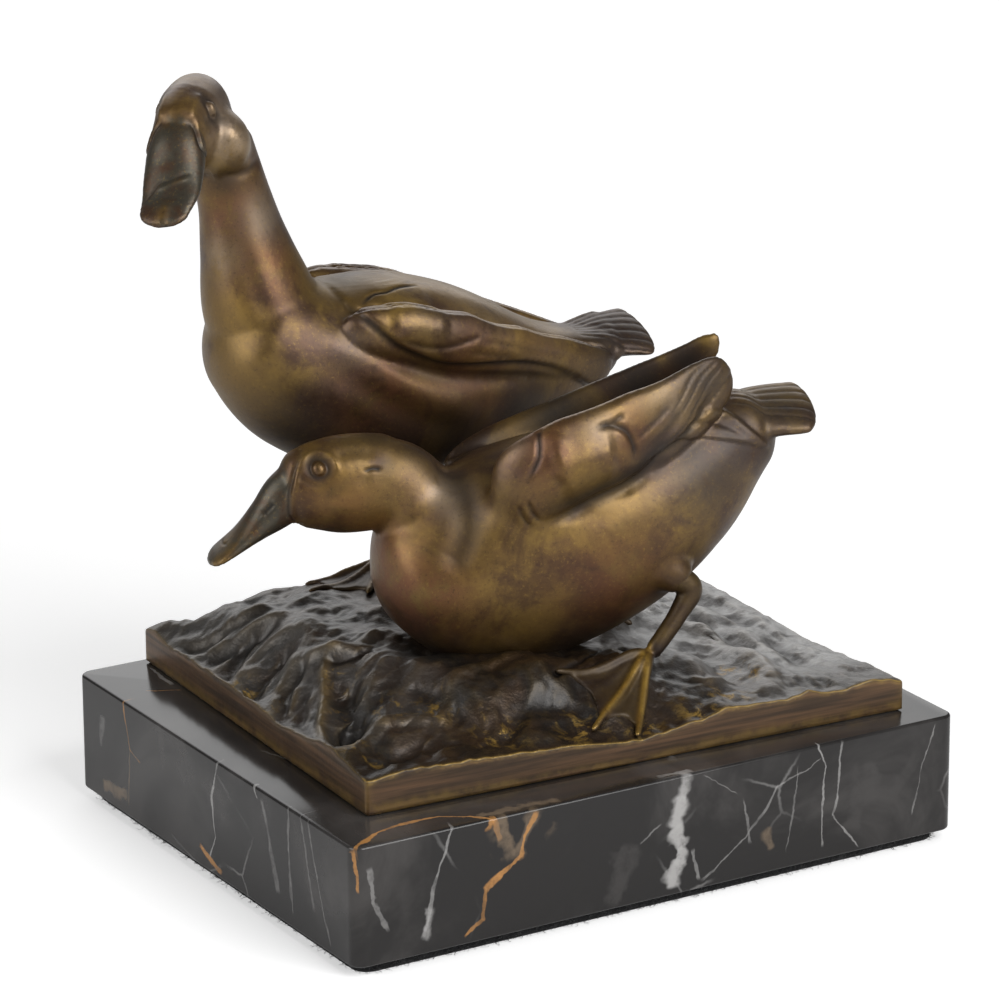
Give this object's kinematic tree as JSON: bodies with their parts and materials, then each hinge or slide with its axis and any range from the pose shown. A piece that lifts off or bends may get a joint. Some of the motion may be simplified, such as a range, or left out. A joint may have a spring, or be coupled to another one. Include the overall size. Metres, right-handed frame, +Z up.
{
  "type": "bronze duck pair sculpture",
  "caption": "Cast bronze pair of ducks, one standing and one crouching, on a rough earth ground bolted to a polished dark marble plinth with a felt underside.",
  "frame": {"origin": "centre of the felt pad's underside, where the plinth stands", "axes": "+Z up, X along the plinth's long side with the ducks looking toward -X, -Y on the ducks' left side"},
  "size_m": [0.152, 0.126, 0.1677],
  "materials": {
    "felt": "matt black wool felt",
    "marble": "polished near-black marble with white and golden veins",
    "ground_bronze": "cast bronze, dark brown patina rubbed gold on its edges",
    "duck_bronze": "polished bronze with an olive-brown patina, dark in the grooves",
    "steel": "zinc-plated steel"
  },
  "bodies": {
    "root": {"felt_pad": "felt", "marble_plinth": "marble", "ground_casting": "ground_bronze", "front_duck_body": "duck_bronze", "rear_duck_body": "duck_bronze", "front_duck_left_leg": "duck_bronze", "front_duck_right_leg": "duck_bronze", "rear_duck_left_leg": "duck_bronze", "rear_duck_right_leg": "duck_bronze", "plinth_stud_1": "steel", "plinth_stud_2": "steel", "plinth_washer_1": "steel", "plinth_washer_2": "steel", "plinth_nut_1": "steel", "plinth_nut_2": "steel", "front_duck_screw_1": "steel", "front_duck_screw_2": "steel", "rear_duck_nut_1": "steel", "rear_duck_nut_2": "steel"}
  },
  "joints": []
}
